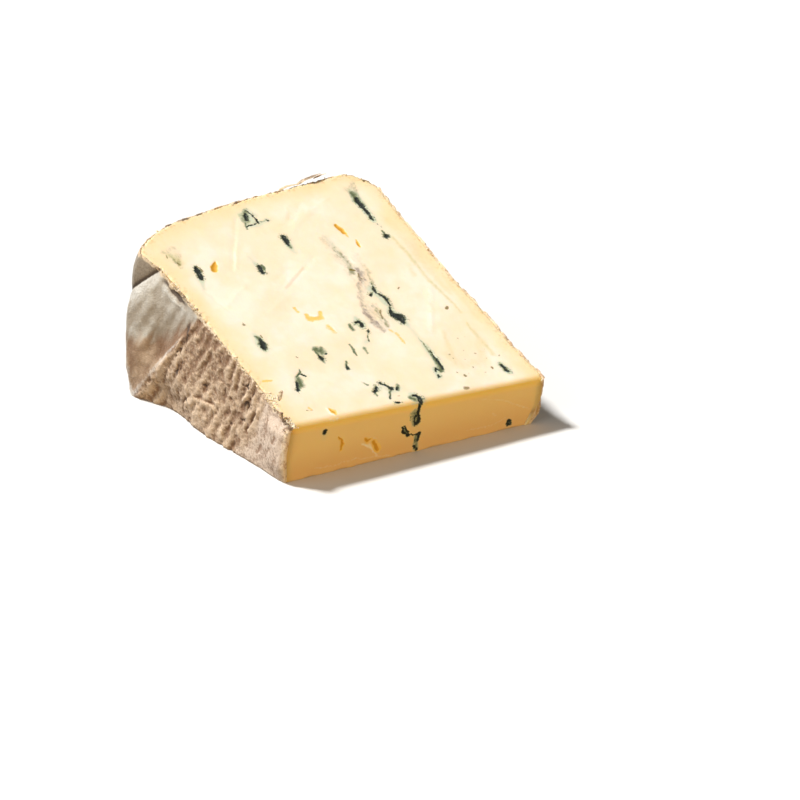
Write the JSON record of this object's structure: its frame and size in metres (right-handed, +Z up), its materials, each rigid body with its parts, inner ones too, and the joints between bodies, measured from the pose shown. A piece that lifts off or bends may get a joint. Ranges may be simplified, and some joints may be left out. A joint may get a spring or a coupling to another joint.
{
  "type": "blue cheese wedge",
  "caption": "Wedge of soft blue-veined cheese with a grey mould-grown rind, lying on one cut face, its low nose trimmed off.",
  "frame": {"origin": "middle of the underside of the wedge's bounding box, on the face it rests on", "axes": "+X along the axis of the wheel it was cut from, from the left rind to the right rind; +Y from the trimmed nose to the rim; +Z up"},
  "size_m": [0.0748, 0.0856, 0.0444],
  "materials": {
    "paste": "moist, soft cream cheese with blue-green veins",
    "rind": "dry grey-white mould-grown rind"
  },
  "bodies": {
    "root": {"blue_cheese_wedge": "paste"}
  },
  "joints": []
}
